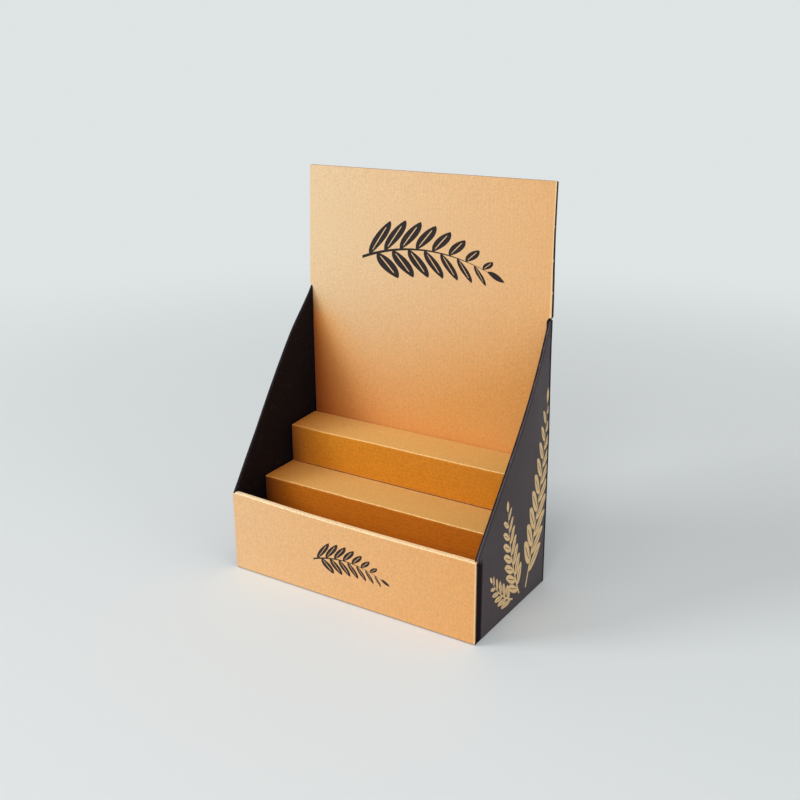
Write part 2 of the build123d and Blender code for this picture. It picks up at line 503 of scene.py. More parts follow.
# %% The card and the tray are cut
REAR_WALL_Y = REAR - BOARD / 2
CARD_TOP_Y = card_high.y - BOARD / 2
FRONT_PLY_Y = FRONT + BOARD / 2
BAR_CLEAR = 2.0
FRONT_CLEAR = 3.0
BAR_LOW, BAR_HIGH = SHOULDER + BAR_CLEAR, TOP - HOLE_DEPTH - BAR_CLEAR
hollow = bpy.data.materials.new("Flute hollow")
for sheet, y_middle in ((tray, REAR_WALL_Y), (card, CARD_TOP_Y)):
    cutters = [flute_row(y_middle, turned, hollow) for turned in (False, True)]
    for end in (-HEADER_SIDE, HEADER_SIDE):
        cutters.append(edge_bar(end, y_middle, BAR_LOW, BAR_HIGH, hollow))
    if sheet is tray:
        for end in (-SIDE, SIDE):
            cutters.append(edge_bar(end, FRONT_PLY_Y, FRONT_CLEAR, FRONT_RIDGE - FRONT_CLEAR, hollow))
    sheet.data.materials.append(bpy.data.materials.new("Uncut board"))
    cut_away(sheet, cutters)
    report(sheet)

# %% [markdown]
# ## Small warps
#
# Thin board is never quite straight. The sheets are first cut across where they bend, and then their points
# are moved by smooth steps, so that no bend shows a kink.

# %% Helpers for warps
def cut_across(piece, axis, places):
    """Cuts a sheet's faces at some places along an axis, so that it can bend there."""
    normal = [float(number == axis) for number in range(3)]
    for place in places:
        edit_all(piece)
        centre = [place * MM * share for share in normal]
        bpy.ops.mesh.bisect(plane_co=centre, plane_no=normal, threshold=CUT_REACH)
    close_edit()


def eased(value, low, high):
    """A smooth step from 0 to 1 between two values."""
    share = min(max((value - low) / (high - low), 0.0), 1.0)
    return share * share * (3 - 2 * share)


# %% [markdown]
# The slanted edges run on over the ends of the front wall as a small beak. The left wall's upper tip leans
# in and rises to the header's shoulder.

# %% Beaks and the left wall's tip
BEAK_REACH = 4.4
BEAK_FOOT = FRONT_RIDGE + 0.1
BEAK_DEPTH = 1.0
SLANT_SLOPE = (SIDE_TOP - SIDE_FOOT) / (SLANT_TOP_Y - SLANT_FOOT_Y)
TIP_LEAN = 1.5
TIP_LIFT = 1.9
REARWARDS = (20.0, 50.0)
LEAN_HEIGHTS = (175.0, 205.0)
LIFT_PLACES = (50.5, 54.8)
LIFT_HEIGHTS = (205.0, 219.0)
cut_across(tray, 2, (BEAK_FOOT,))
for point in tray.data.vertices:
    x, y, z = point.co / MM
    at_beak = abs(x) > SIDE_INSIDE - NEAR and FRONT_INSIDE + NEAR < y < FRONT_INSIDE + BEAK_DEPTH
    if at_beak and z > BEAK_FOOT:
        share = min((z - BEAK_FOOT) / (SIDE_FOOT - BEAK_FOOT), 1.0)
        point.co.y -= BEAK_REACH * share * MM
        point.co.z -= BEAK_REACH * SLANT_SLOPE * share * MM
    if x < -SIDE_INSIDE + NEAR and y < REAR - BOARD - NEAR:
        point.co.x += TIP_LEAN * eased(y, *REARWARDS) * eased(z, *LEAN_HEIGHTS) * MM
        if z < SIDE_TOP + NEAR:
            point.co.z += TIP_LIFT * eased(y, *LIFT_PLACES) ** 2 * eased(z, *LIFT_HEIGHTS) * MM
print("beaks reach", BEAK_REACH, "mm, and the tip rises", TIP_LIFT, "mm")

# %% [markdown]
# The front wall's fold lifts at its left end and sags a little right of its middle. The side walls follow
# it near the front, and the base stays flat on the floor.

# %% Lift and sag of the front fold
CORNER_LIFT = 1.6
LIFT_SPAN = (30.0, 114.0)
LIFT_CURVE = 1.5
FRONT_SAG = 0.6
SAG_MIDDLE = 20.0
SAG_REACH = 80.0
FRONT_FADE = (FRONT + 8.0, FRONT + 40.0)
PAST_INSIDE = SIDE_INSIDE + 0.3
cut_across(tray, 0, (-PAST_INSIDE, *range(-100, 101, 20), PAST_INSIDE))
for point in tray.data.vertices:
    x, y, z = point.co / MM
    near_front = (1.0 - eased(y, *FRONT_FADE)) * min(z / FRONT_RIDGE, 1.0)
    lift = CORNER_LIFT * eased(-x, *LIFT_SPAN) ** LIFT_CURVE
    sag = FRONT_SAG * math.cos(math.pi / 2 * min(abs(x - SAG_MIDDLE) / SAG_REACH, 1.0))
    point.co.z += (lift - sag) * near_front * (z > BOARD + NEAR) * MM
print("the fold lifts", CORNER_LIFT, "mm and sags", FRONT_SAG, "mm")

# %% [markdown]
# The header's left edge leans in towards its top. Its right edge flares a little at the shoulder, is drawn
# in again below the top and ends in its place. Under the shoulder the right wall's rear corner is drawn in,
# and lower down the left wall stands out a little towards the rear.

# %% Leaning header and rear corners
HEADER_CUTS = (125.0, 150.0, 175.0, 200.0, 219.0, 222.5, 235.0, 250.0, 265.0, 285.0, 305.0)
LEFT_LEAN = 3.0
LEFT_BULGE = 1.1
LEFT_HEIGHTS = (120.0, 205.0)
REAR_DRAW = 1.2
REAR_HEIGHTS = (110.0, 205.0)
REAR_END = (219.0, 222.0)
HEADER_FLARE = 0.5
HEADER_WAIST = 0.9
WAIST_HEIGHTS = (222.0, 285.0)
TOP_FLARE = 0.4
TOP_HEIGHTS = (290.0, TOP)
for sheet in (tray, card):
    cut_across(sheet, 2, HEADER_CUTS)
    for point in sheet.data.vertices:
        x, y, z = point.co / MM
        if x < 0:
            x += LEFT_LEAN * max(z - SHOULDER, 0.0) / (TOP - SHOULDER) * -x / HEADER_SIDE
            if sheet is tray and z > BOARD:
                x += LEFT_BULGE * (1.0 - eased(z, *LEFT_HEIGHTS)) * eased(y, *REARWARDS) * x / SIDE
        else:
            drawn = REAR_DRAW * eased(y, 0.0, REAR) * (eased(z, *REAR_HEIGHTS) - eased(z, *REAR_END))
            if z > SHOULDER - NEAR:
                waist = HEADER_WAIST * eased(z, *WAIST_HEIGHTS)
                drawn -= HEADER_FLARE - waist + TOP_FLARE * eased(z, *TOP_HEIGHTS)
            x -= drawn * x / SIDE
        point.co.x = x * MM
print("the header leans", LEFT_LEAN, "mm, and the rear corner is drawn in", REAR_DRAW, "mm")

# %% [markdown]
# The stair's folds are not quite straight either. A noise along each fold moves its points by up to a third
# of a millimetre, up and forwards.

# %% Waves along the stair's folds
WAVE = 0.35
WAVE_LENGTH = 17.0
FOLD_REACH = 2.0
UPWARDS, FORWARDS = 0.0, 9.0
cut_across(stair, 0, range(-104, 105, 8))
for point in stair.data.vertices:
    x, y, z = point.co / MM
    for front, level in ((stair_low.y, LOWER_TREAD), (stair_low.y + STEP_DEPTH, UPPER_TREAD)):
        if abs(y - front) < FOLD_REACH and abs(z - level) < FOLD_REACH:
            point.co.z += WAVE * noise.noise(Vector((x / WAVE_LENGTH, front, UPWARDS))) * MM
            point.co.y += WAVE * noise.noise(Vector((x / WAVE_LENGTH, front, FORWARDS))) * MM
for sheet in (tray, card, stair):
    report(sheet)


# %% [markdown]
# ## Finishes
#
# Each finish is a material, and the effects that several finishes share are node groups: the kraft liner, the
# film of ink, the leafy branch and the painted shade of a corner.
#
# The liner is brown paper over the flutes. Noises from clouds down to grains mottle it, one that is drawn out
# sideways makes its fibres, and a sine with the flutes' pitch lets them show through.

# %% The kraft liner
def build_kraft_liner():
    """Brown paper over flutes: soft blotches, fibres, flecks and a faint line over each flute."""
    group, given, result = new_group(
        "Kraft liner",
        {
            "Place": None, "Across": 0.0, "Tone": 0.5, "Pale": (0.8, 0.6, 0.4, 1.0),
            "Deep": (0.7, 0.4, 0.2, 1.0), "Flute Line": 0.03, "Blotch": 0.08, "Fleck": 0.3, "Grain": 0.1,
        },
        ("Color", "Roughness", "Height"),
    )
    place, across = given["Place"], given["Across"]
    sway = speckle(group, place, 26.0, 1.0)
    sway = times(group, minus(group, sway, 0.5), 1.1)
    turn = times_plus(group, across, 2 * math.pi / (FLUTE_PITCH * MM), sway)
    flute = calculate(group, "SINE", turn)
    crest = calculate(group, "POWER", calculate(group, "ABSOLUTE", flute), 3.0)
    crest = times(group, crest, calculate(group, "SIGN", flute))
    cloud = speckle(group, place, 55.0, 2.0)
    blotch = speckle(group, place, 330.0, 2.0)
    stretched = add_node(group, "ShaderNodeMapping", Vector=place, Scale=(260.0, 260.0, 1500.0)).outputs[0]
    fibre = speckle(group, stretched, 1.0, 3.0)
    mix = plus(group, times(group, cloud, 0.8), times(group, blotch, 1.2))
    mix = plus(group, mix, fibre)
    mix = minus(group, mix, 1.5)
    tone = times_plus(group, mix, given["Blotch"], given["Tone"])
    tone = times_plus(group, crest, given["Flute Line"], tone)
    paper = blend_colour(group, tone, given["Pale"], given["Deep"])
    grit = speckle(group, place, 900.0, 1.0)
    dark = times(group, map_value(group, grit, 0.70, 0.76), given["Fleck"])
    light = times(group, map_value(group, grit, 0.30, 0.24), given["Fleck"])
    paper = blend_colour(group, dark, paper, srgb(120, 72, 34))
    paper = blend_colour(group, times(group, light, 0.5), paper, srgb(250, 225, 185))
    grain = speckle(group, place, 720.0, 2.0)
    deep_grain = times_plus(group, given["Grain"], -1.0, 1.0)
    high_grain = plus(group, given["Grain"], 1.0)
    grain = map_value(group, grain, 0.25, 0.75, deep_grain, high_grain, smooth=False)
    paper = blend_colour(group, 1.0, paper, grain, "MULTIPLY")
    group.links.new(paper, result["Color"])
    group.links.new(map_value(group, blotch, 0.3, 0.7, 0.50, 0.66), result["Roughness"])
    height = plus(group, times(group, flute, 0.022), times(group, fibre, 0.03))
    group.links.new(height, result["Height"])
    return group


KRAFT_LINER = build_kraft_liner()
print("Kraft liner has", len(KRAFT_LINER.nodes), "nodes")


# %% [markdown]
# The black print is a thin film of ink on the same liner. It covers well, but it shows the flutes as faint
# lines, it is uneven in sheen, and a few pinholes let the paper through.

# %% The film of ink
def build_ink_film():
    """Black ink on fluted board: its colour, sheen and surface."""
    group, given, result = new_group(
        "Ink film",
        {
            "Place": None, "Across": 0.0, "Ink": (0.01, 0.01, 0.01, 1.0), "Rub": (0.05, 0.04, 0.05, 1.0),
            "Sheen": 0.4, "Wear": 0.0,
        },
        ("Color", "Roughness", "Height"),
    )
    place, across = given["Place"], given["Across"]
    sway = speckle(group, place, 26.0, 1.0)
    turn = times_plus(group, across, 2 * math.pi / (FLUTE_PITCH * MM), sway)
    flute = calculate(group, "SINE", turn)
    cloud = speckle(group, place, 38.0, 3.0)
    grain = speckle(group, place, 620.0, 2.0)
    patch = times(group, cloud, map_value(group, grain, 0.35, 0.75))
    patch = times_plus(group, flute, 0.03, patch)
    film = blend_colour(group, times(group, patch, 0.45), given["Ink"], given["Rub"])
    pin = speckle(group, place, 1400.0, 0.0)
    film = blend_colour(group, map_value(group, pin, 0.80, 0.84, 0.0, 0.5), film, srgb(170, 130, 90))
    # Paling towards a scuffed grey: where a finish asks for it, this is also a painted highlight.
    rubbed_and_lit = times(group, given["Wear"], map_value(group, grain, 0.2, 0.7, 0.6, 1.0))
    film = blend_colour(group, rubbed_and_lit, film, srgb(150, 136, 140))
    group.links.new(film, result["Color"])
    sheen = times_plus(group, minus(group, cloud, 0.5), 0.25, given["Sheen"])
    sheen = times_plus(group, minus(group, grain, 0.5), 0.16, sheen)
    group.links.new(sheen, result["Roughness"])
    height = plus(group, times(group, flute, 0.014), times(group, grain, 0.02))
    group.links.new(height, result["Height"])
    return group


INK_FILM = build_ink_film()
print("Ink film has", len(INK_FILM.nodes), "nodes")


# %% [markdown]
# The print is a plain leafy branch. A slanted strip repeats along the stem, and each strip holds one
# leaf, so one leaf's sums draw them all. The leaves grow smaller towards the tip, and a noise shakes their
# outlines a little, as on rough paper.

# %% The leafy branch
def build_leaf_branch():
    """A leafy branch in millimetres: X runs along the stem and Y across it."""
    group, given, result = new_group(
        "Leaf branch",
        {
            "Place": None, "Length": 100.0, "Pitch": 14.0, "Leaf": 28.0, "Half Width": 5.0, "Lean": 0.9,
            "Bow": 0.0, "Stem": 0.8,
        },
        ("Mask",),
    )
    length, pitch, lean = given["Length"], given["Pitch"], given["Lean"]
    leaf_length, half_width = given["Leaf"], given["Half Width"]
    ragged = add_node(group, "ShaderNodeTexNoise", Vector=given["Place"], Scale=2.2, Detail=1.0)
    shaken = add_node(group, "ShaderNodeVectorMath", in0=ragged.outputs[1], in1=(0.5, 0.5, 0.5))
    shaken.operation = "SUBTRACT"
    scaled = add_node(group, "ShaderNodeVectorMath", in0=shaken.outputs[0])
    scaled.operation = "SCALE"
    scaled.inputs["Scale"].default_value = 0.35
    moved = add_node(group, "ShaderNodeVectorMath", in0=given["Place"], in1=scaled.outputs[0])
    parts = add_node(group, "ShaderNodeSeparateXYZ", Vector=moved.outputs[0]).outputs
    along = parts["X"]
    share = calculate(group, "DIVIDE", along, length)
    arch = times(group, share, minus(group, 1.0, share))
    across = minus(group, parts["Y"], times(group, arch, given["Bow"]))
    out = calculate(group, "ABSOLUTE", across)
    lower = times(group, calculate(group, "LESS_THAN", across, 0.0), times(group, pitch, 0.5))
    slid = minus(group, minus(group, along, times(group, out, lean)), lower)
    cell = calculate(group, "FLOOR", calculate(group, "DIVIDE", slid, pitch))
    middle = times(group, plus(group, cell, 0.5), pitch)
    rooted = calculate(group, "DIVIDE", plus(group, middle, lower), length)
    slope = calculate(group, "SQRT", times_plus(group, lean, lean, 1.0))
    beside = calculate(group, "DIVIDE", minus(group, slid, middle), slope)
    beside = calculate(group, "ABSOLUTE", beside)
    size = minus(group, 1.0, times(group, calculate(group, "POWER", rooted, 2.0), 0.62))
    reach = calculate(group, "DIVIDE", times(group, out, slope), times(group, leaf_length, size))
    belly = times(group, reach, minus(group, 1.0, reach))
    belly = times(group, calculate(group, "MAXIMUM", belly, 0.0), 4.0)
    belly = times(group, calculate(group, "POWER", belly, 0.8), times(group, half_width, size))
    leaf = calculate(group, "LESS_THAN", beside, belly)
    vein = calculate(group, "LESS_THAN", beside, times(group, belly, 0.09))
    vein = times(group, vein, calculate(group, "LESS_THAN", reach, 0.8))
    leaf = minus(group, leaf, times(group, vein, calculate(group, "GREATER_THAN", reach, 0.14)))
    leaf = times(group, leaf, calculate(group, "GREATER_THAN", rooted, 0.06))
    leaf = times(group, leaf, calculate(group, "LESS_THAN", rooted, 0.97))
    thick = times(group, given["Stem"], minus(group, 1.15, share))
    stem = times(group, calculate(group, "LESS_THAN", out, thick), calculate(group, "LESS_THAN", share, 1.02))
    stem = times(group, stem, calculate(group, "GREATER_THAN", share, 0.0))
    tip_reach = calculate(group, "DIVIDE", minus(group, along, length), times(group, leaf_length, 0.5))
    tip_belly = times(group, tip_reach, minus(group, 1.0, tip_reach))
    tip_belly = calculate(group, "MAXIMUM", tip_belly, 0.0)
    tip_belly = times(group, times(group, tip_belly, 4.0), times(group, half_width, 0.5))
    tip = calculate(group, "LESS_THAN", out, tip_belly)
    mask = calculate(group, "MAXIMUM", calculate(group, "MAXIMUM", leaf, stem), tip)
    group.links.new(mask, result["Mask"])
    return group


LEAF_BRANCH = build_leaf_branch()
print("Leaf branch has", len(LEAF_BRANCH.nodes), "nodes")


# %% [markdown]
# A Mapping node lays a branch on a face: it takes the root, the direction and the unit, and gives the place
# along the stem and across it.

# %% A branch laid on a face
def branch_on(tree, place, origin, turn, facing, **measures):
    """One branch: its root in millimetres, its direction in degrees and the face that it lies on."""
    mapping = add_node(tree, "ShaderNodeMapping", Vector=place)
    mapping.vector_type = "TEXTURE"
    mapping.inputs["Location"].default_value = [value * MM for value in origin]
    mapping.inputs["Rotation"].default_value = (math.radians(90), -math.radians(turn), math.radians(facing))
    mapping.inputs["Scale"].default_value = (MM, MM, MM)
    return use_group(tree, LEAF_BRANCH, Place=mapping.outputs[0], **measures)["Mask"]


# %% [markdown]
# Painted shade: in the corner beside the black left wall the kraft is painted darker and more orange, where
# the wall shades it. This group works that out from the distance to the wall: one loss dims all colours and
# one takes the green and blue, and each fades over its own reach.

# %% The shade of a corner
def build_corner_shade():
    """Painted shade: the light that a corner keeps beside the black wall, darker and warmer towards it and
    further down.
    """
    group, given, result = new_group(
        "Corner shade",
        {
            "Away": 0.0, "Dark": 0.5, "Dark Reach": 10.0, "Warm": 0.5, "Warm Reach": 20.0,
            "Blue Loss": 2.45,
        },
        ("Color",),
    )
    faded = []
    for amount in ("Dark", "Warm"):
        turns = calculate(group, "DIVIDE", given["Away"], given[amount + " Reach"])
        near = calculate(group, "EXPONENT", times(group, turns, -1.0))
        faded.append(times(group, given[amount], near))
    mixed = add_node(group, "ShaderNodeCombineColor")
    for socket, share in zip(mixed.inputs, (0.0, 1.0, given["Blue Loss"])):
        loss = plus(group, times(group, faded[1], share), faded[0])
        group.links.new(calculate(group, "EXPONENT", times(group, loss, -1.0)), socket)
    group.links.new(mixed.outputs[0], result["Color"])
    return group


CORNER_SHADE = build_corner_shade()
print("Corner shade has", len(CORNER_SHADE.nodes), "nodes")


# %% [markdown]
# ### Kraft finishes
#
# All kraft surfaces share one recipe. Painted light: the tone is paler at the left, where the light comes
# from, and darker towards the right of the box. A finish may also carry a printed branch, the corner's
# painted shade, a painted highlight along its right end and a painted contact shadow along its lower edge.

# %% One kraft finish
INK = srgb(36, 27, 26)
EDGE_HIGHLIGHT_KRAFT = srgb(254, 222, 172)
FOOT_SHADOW_KRAFT = srgb(60, 32, 14)
EDGE_HIGHLIGHT_LINE = (1.4, 0.8)
FOOT_SHADOW_LINE = (0.2, 1.2)
KRAFT_GLOSS = 0.35
LEAST_GRAIN = 0.1
GRAIN_PER_LINE = 2.6


def ramp(tree, height, value):
    """A plain value, or one that changes evenly between two heights: low, high, value low, value high."""
    if isinstance(value, float):
        return value
    low, high, at_low, at_high = value
    return map_value(tree, height, low * MM, high * MM, at_low, at_high, smooth=False)


def kraft_finish(name, colours, axes, tone, flute_line, bump, branch=None, depth=None, shade=None, end=None):
    """A kraft surface: its colours, the axes across its flutes, its tone at both sides, which is painted
    light, and its relief.
    """
    material, tree, shader = new_tree(name)
    place, parts = surface_place(tree)
    across = parts[axes[0]]
    for axis in axes[1:]:
        across = plus(tree, across, parts[axis])
    # Painted light: paler at the left, where the light comes from, and darker to the right.
    light_and_shade_tone = map_value(tree, parts["X"], -SIDE * MM, SIDE * MM, *tone, smooth=False)
    # Painted shade: the tone darkens low down, where less light reaches.
    if depth:
        low, high, amount = depth
        low_shade = map_value(tree, parts["Z"], low * MM, high * MM, amount, 0.0)
        light_and_shade_tone = plus(tree, light_and_shade_tone, low_shade)
    grain = max(LEAST_GRAIN, GRAIN_PER_LINE * flute_line)
    liner = use_group(tree, KRAFT_LINER, Place=place, Across=across, Tone=light_and_shade_tone, Pale=colours[0],
                      Deep=colours[1], Flute_Line=flute_line, Grain=grain)
    colour, rough = liner["Color"], liner["Roughness"]
    # Painted shade of the black left wall, laid over the kraft beside it.
    if shade:
        away = times_plus(tree, parts["X"], 1 / MM, SIDE_INSIDE)
        amounts = {socket: ramp(tree, parts["Z"], value) for socket, value in shade.items()}
        kept = use_group(tree, CORNER_SHADE, Away=away, **amounts)["Color"]
        colour = blend_colour(tree, 1.0, colour, kept, "MULTIPLY")
    if end:
        # Painted highlight: a pale line along the right end, where the cut edge catches the light.
        line_start, line_end = (end - width for width in EDGE_HIGHLIGHT_LINE)
        edge_highlight = map_value(tree, parts["X"], line_start * MM, line_end * MM, 0.0, 0.6)
        colour = blend_colour(tree, edge_highlight, colour, EDGE_HIGHLIGHT_KRAFT)
        # Painted contact shadow: a dark line along the lower edge, where the wall meets the floor.
        foot_shadow = map_value(tree, parts["Z"], FOOT_SHADOW_LINE[0] * MM, FOOT_SHADOW_LINE[1] * MM, 0.9, 0.0)
        colour = blend_colour(tree, foot_shadow, colour, FOOT_SHADOW_KRAFT)
    if branch:
        mask = branch_on(tree, place, *branch[0], **branch[1])
        cover = speckle(tree, place, 800.0, 2.0)
        mask = times(tree, mask, map_value(tree, cover, 0.22, 0.34, 0.8, 1.0))
        colour = blend_colour(tree, mask, colour, INK)
        rough = times_plus(tree, mask, -0.08, rough)
    wire_shader(tree, shader, colour, rough, KRAFT_GLOSS, (liner["Height"], bump, MM))
    return material


# %% [markdown]
# The header and the front wall carry a branch each. The header is painted darkest low down, between the
# walls, as painted shade.

# %% Kraft on the header and the front wall
KRAFT = (srgb(238, 208, 165), srgb(230, 160, 84))


def branch_measures(*measures):
    """A branch's measures in millimetres, under the names of the group's inputs."""
    return dict(zip(("Length", "Pitch", "Leaf", "Half Width", "Lean", "Bow", "Stem"), measures))


HEADER_BRANCH = (((-58.0, 0.0, 251.0), 0.0, 0.0), branch_measures(116.0, 15.0, 31.0, 5.2, 0.85, 44.0, 1.1))
FRONT_BRANCH = (((-32.5, 0.0, 30.5), 0.0, 0.0), branch_measures(64.0, 8.4, 17.4, 2.9, 0.85, 24.0, 0.65))
HEADER_SHADE = {
    "Dark": (203.0, 219.0, 1.25, 0.0),
    "Dark Reach": (115.0, 193.0, 23.0, 3.5),
    "Warm": (193.0, 216.0, 1.0, 0.0),
    "Warm Reach": (112.0, 205.0, 39.0, 8.0),
}
kraft_header = kraft_finish(
    "Kraft header", KRAFT, "X", tone=(0.05, 0.65), flute_line=0.035, bump=0.4, branch=HEADER_BRANCH,
    depth=(110.0, 260.0, 0.6), shade=HEADER_SHADE, end=HEADER_SIDE
)
kraft_front = kraft_finish(
    "Kraft front", KRAFT, "X", tone=(0.45, 0.85), flute_line=0.03, bump=0.35, branch=FRONT_BRANCH, end=SIDE
)
kraft_plain = kraft_finish("Kraft plain", KRAFT, "X", tone=(0.5, 0.8), flute_line=0.05, bump=0.6)

# %% [markdown]
# On the stair the flutes run the other way. The risers are painted a much darker orange than the treads, as
# painted shade and painted kraft-coloured bounce light, and the lower riser is painted darker still.

# %% Kraft on the stair
STAIR_KRAFT = (srgb(230, 186, 114), srgb(214, 156, 76))
RISER_SHADED_KRAFT = (srgb(222, 144, 26), srgb(196, 104, 6))
TREAD_SHADE = {"Dark": 0.52, "Dark Reach": 17.0, "Warm": 0.62, "Warm Reach": 26.0}
RISER_SHADE = {"Dark": (53.0, 97.0, 1.9, 1.1), "Dark Reach": 11.0, "Warm": 0.3, "Warm Reach": 12.0,
               "Blue Loss": -4.0}
kraft_tread = kraft_finish(
    "Kraft tread", STAIR_KRAFT, "YZ", tone=(0.1, 0.7), flute_line=0.05, bump=0.5, shade=TREAD_SHADE
)
kraft_riser = kraft_finish(
    "Kraft riser", RISER_SHADED_KRAFT, "YZ", tone=(0.2, 0.4), flute_line=0.06, bump=0.6, depth=(68.0, 72.0, 0.5),
    shade=RISER_SHADE
)

# %% [markdown]
# An outer fold shows as a thin pale line: partly the liner rubbing along the fold and partly a painted
# highlight. An inner fold shows as a dark line, a painted shade in the crease.

# %% Folds in kraft
FOLD_HIGHLIGHT_KRAFT = (srgb(254, 230, 190), srgb(248, 208, 150))
STAIR_FOLD_HIGHLIGHT_KRAFT = (srgb(250, 208, 142), srgb(244, 190, 112))
CREASE_SHADE_KRAFT = (srgb(136, 66, 16), srgb(104, 46, 8))
AS_FOLDED = {"tone": (0.2, 0.8), "flute_line": 0.1, "bump": 0.8}
kraft_fold_highlight = kraft_finish("Kraft fold highlight", FOLD_HIGHLIGHT_KRAFT, "X", **AS_FOLDED)
stair_fold_highlight = kraft_finish("Stair fold highlight", STAIR_FOLD_HIGHLIGHT_KRAFT, "YZ", **AS_FOLDED, shade=TREAD_SHADE)
# Painted shade: the inner fold is painted dark.
kraft_crease_shade = kraft_finish("Kraft crease shade", CREASE_SHADE_KRAFT, "X", **AS_FOLDED)
print(kraft_fold_highlight.name, stair_fold_highlight.name, kraft_crease_shade.name)

# %% [markdown]
# ### Black finishes
#
# The side walls and the rear are printed black. The slanted folds are a little paler, partly from scuffing
# and partly a painted highlight, and beside them runs a darker line, a painted shade where the board curves
# into the fold. The branches on the outside are simply left free of ink.

# %% One black finish
SLANT_FOOT = Vector((0, SLANT_FOOT_Y, SIDE_FOOT))
SLANT_TOP = Vector((0, SLANT_TOP_Y, SIDE_TOP))
STRIP_SHADE_INK = srgb(34, 24, 29)
BARE_KRAFT = (srgb(246, 214, 160), srgb(226, 178, 118))
RUBBED_AND_LIT = (0.2, 1.1)
SLANT_SHADE = (1.0, 1.6)
SLANT_SHADE_END = (2.2, 4.0)
BENT_DEPTHS = (7.5, 10.0)
BENT_HEIGHTS = (63.0, 69.0)


def black_finish(name, ink, rub, sheen, level, wear_and_highlight, branches=()):
    """Black ink on a wall: its ink and rub colours, sheen, gloss level, and the paling at the slanted fold,
    partly scuffing and partly a painted highlight.
    """
    material, tree, shader = new_tree(name)
    place, parts = surface_place(tree)
    run = (SLANT_TOP - SLANT_FOOT).normalized()
    inwards = add_node(tree, "ShaderNodeVectorMath", in0=place, in1=(0, run.z, -run.y))
    inwards.operation = "DOT_PRODUCT"
    edge = (SLANT_FOOT.y * run.z - SLANT_FOOT.z * run.y) * MM

    def from_edge(band, at_start, at_end):
        """A share that changes over a band beside the slanted edge."""
        start, end = (edge + value * MM for value in band)
        return map_value(tree, inwards.outputs["Value"], start, end, at_start, at_end)

    # Paler band at the slanted fold: partly scuffing and partly a painted highlight where the rounded fold
    # catches the light.
    film = use_group(tree, INK_FILM, Place=place, Across=parts["Z"], Ink=ink, Rub=rub, Sheen=sheen,
                     Wear=from_edge(RUBBED_AND_LIT, wear_and_highlight, 0.0))
    colour, rough = film["Color"], film["Roughness"]
    # Painted shade: near the front the board bends inwards, away from the light, and that strip is painted
    # darker.
    bend_start, bend_end = (FRONT + value for value in BENT_DEPTHS)
    bent = map_value(tree, parts["Y"], bend_start * MM, bend_end * MM, 1.0, 0.0)
    low, high = BENT_HEIGHTS
    bent = times(tree, bent, map_value(tree, parts["Z"], low * MM, high * MM, 1.0, 0.0))
    # Painted shade: a darker line beside the slanted fold, where the board curves away from the light.
    slant_shade = times(tree, from_edge(SLANT_SHADE, 0.0, 0.55), from_edge(SLANT_SHADE_END, 1.0, 0.0))
    bent = calculate(tree, "MAXIMUM", bent, slant_shade)
    colour = blend_colour(tree, bent, colour, STRIP_SHADE_INK)
    rough = times_plus(tree, bent, 0.3, rough)
    if branches:
        masks = [branch_on(tree, place, *where, **measures) for where, measures in branches]
        mask = masks[0]
        for other in masks[1:]:
            mask = calculate(tree, "MAXIMUM", mask, other)
        liner = use_group(tree, KRAFT_LINER, Place=place, Across=parts["Z"], Tone=0.35, Pale=BARE_KRAFT[0],
                          Deep=BARE_KRAFT[1])
        colour = blend_colour(tree, mask, colour, liner["Color"])
        rough = times_plus(tree, mask, 0.15, rough)
    wire_shader(tree, shader, colour, rough, level, (film["Height"], 0.6, MM))
    return material


# %% [markdown]
# The side walls have three branches outside, and the rear wall has the same ink without them. The strip
# behind the front wall's end is duller and painted dark as shade, and the inside of the walls carries the
# same print painted darker, a painted shade.

# %% Black on the walls
SIDE_BRANCHES = (
    (((0.0, 24.0, 10.0), 79.0, 90.0), branch_measures(148.0, 14.0, 25.0, 4.6, 1.1, -14.0, 0.9)),
    (((0.0, 13.0, 10.0), 108.0, 90.0), branch_measures(84.0, 11.0, 19.0, 3.6, 1.1, 14.0, 0.8)),
    (((0.0, 2.0, 10.0), 139.0, 90.0), branch_measures(46.0, 8.5, 14.0, 2.8, 1.1, 12.0, 0.7)),
)
OUTER_INK, OUTER_RUB = srgb(62, 50, 54), srgb(100, 86, 90)
OUTER = {"sheen": 0.48, "level": 0.3, "wear_and_highlight": 0.25}
black_side = black_finish("Black side", OUTER_INK, OUTER_RUB, **OUTER, branches=SIDE_BRANCHES)
black_rear = black_finish("Black rear", OUTER_INK, OUTER_RUB, **OUTER)
black_strip = black_finish("Black strip", OUTER_INK, OUTER_RUB, sheen=0.62, level=0.04, wear_and_highlight=0.0)
SHADED_INNER_INK, SHADED_INNER_RUB = srgb(14, 12, 16), srgb(24, 22, 27)
black_inside = black_finish("Black inside", SHADED_INNER_INK, SHADED_INNER_RUB, sheen=0.66, level=0.12, wear_and_highlight=0.04)
print(black_side.name, black_rear.name, black_strip.name, black_inside.name)

# %% [markdown]
# ### Cut edges
#
# A cut edge shows raw brown fibre, and the hollows of the flutes are painted darker as shade. The header's
# upright edges are painted near black, partly as ink and partly as painted shade, and a few pale nicks show
# where the ink was knocked off.

# %% Cut edges
NICK = 1.3
FIBRE_BAND = (0.3, 0.7)


